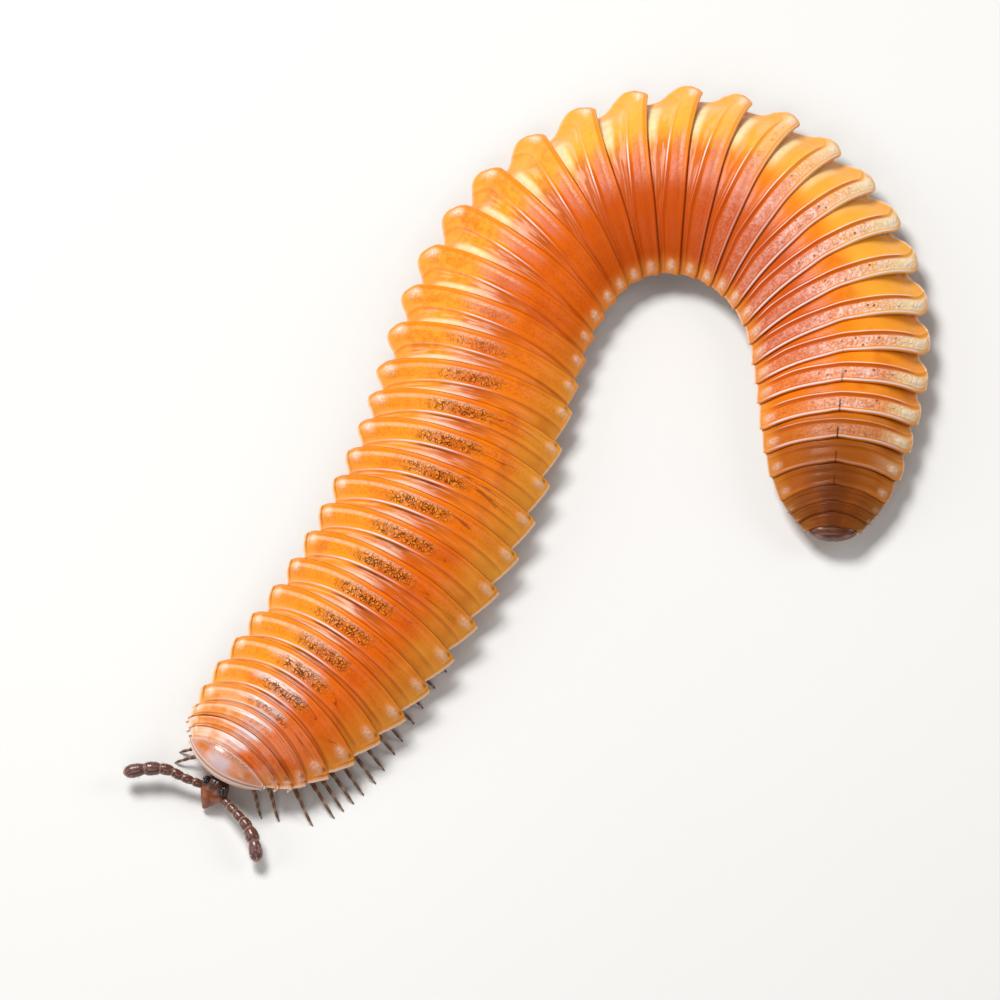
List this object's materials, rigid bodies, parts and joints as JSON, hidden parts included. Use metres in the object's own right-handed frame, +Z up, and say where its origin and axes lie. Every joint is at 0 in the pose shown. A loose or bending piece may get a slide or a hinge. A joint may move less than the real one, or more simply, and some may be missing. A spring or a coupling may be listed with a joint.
{
  "type": "octoglena millipede model",
  "caption": "Low, domed, many-legged millipede lying in a hooked bend, with overlapping notched back plates, short legs under their edges, a small tucked head and clubbed feelers.",
  "frame": {"origin": "centre of the bounding box, on the surface that the feet stand on", "axes": "+Z up; +Y away from the viewer, along the longer side of the box; the head is at -X -Y and the tail at +X"},
  "size_m": [0.011, 0.0116, 0.0011],
  "materials": {
    "trunk": "glossy orange cuticle with pale ridges and rims",
    "collum": "glossy pale pink cuticle with orange patches",
    "telson": "dark amber cuticle",
    "head": "brown orange cuticle",
    "antenna": "dark reddish brown, glossy",
    "eye": "polished black"
  },
  "bodies": {
    "root": {"head": "head", "eye_left": "eye", "eye_right": "eye", "antenna_left": "antenna", "antenna_right": "antenna", "collum": "collum", "trunk_1": "trunk", "trunk_2": "trunk", "trunk_3": "trunk", "trunk_4": "trunk", "trunk_5": "trunk", "trunk_6": "trunk", "trunk_7": "trunk", "trunk_8": "trunk", "telson": "telson"}
  },
  "joints": []
}
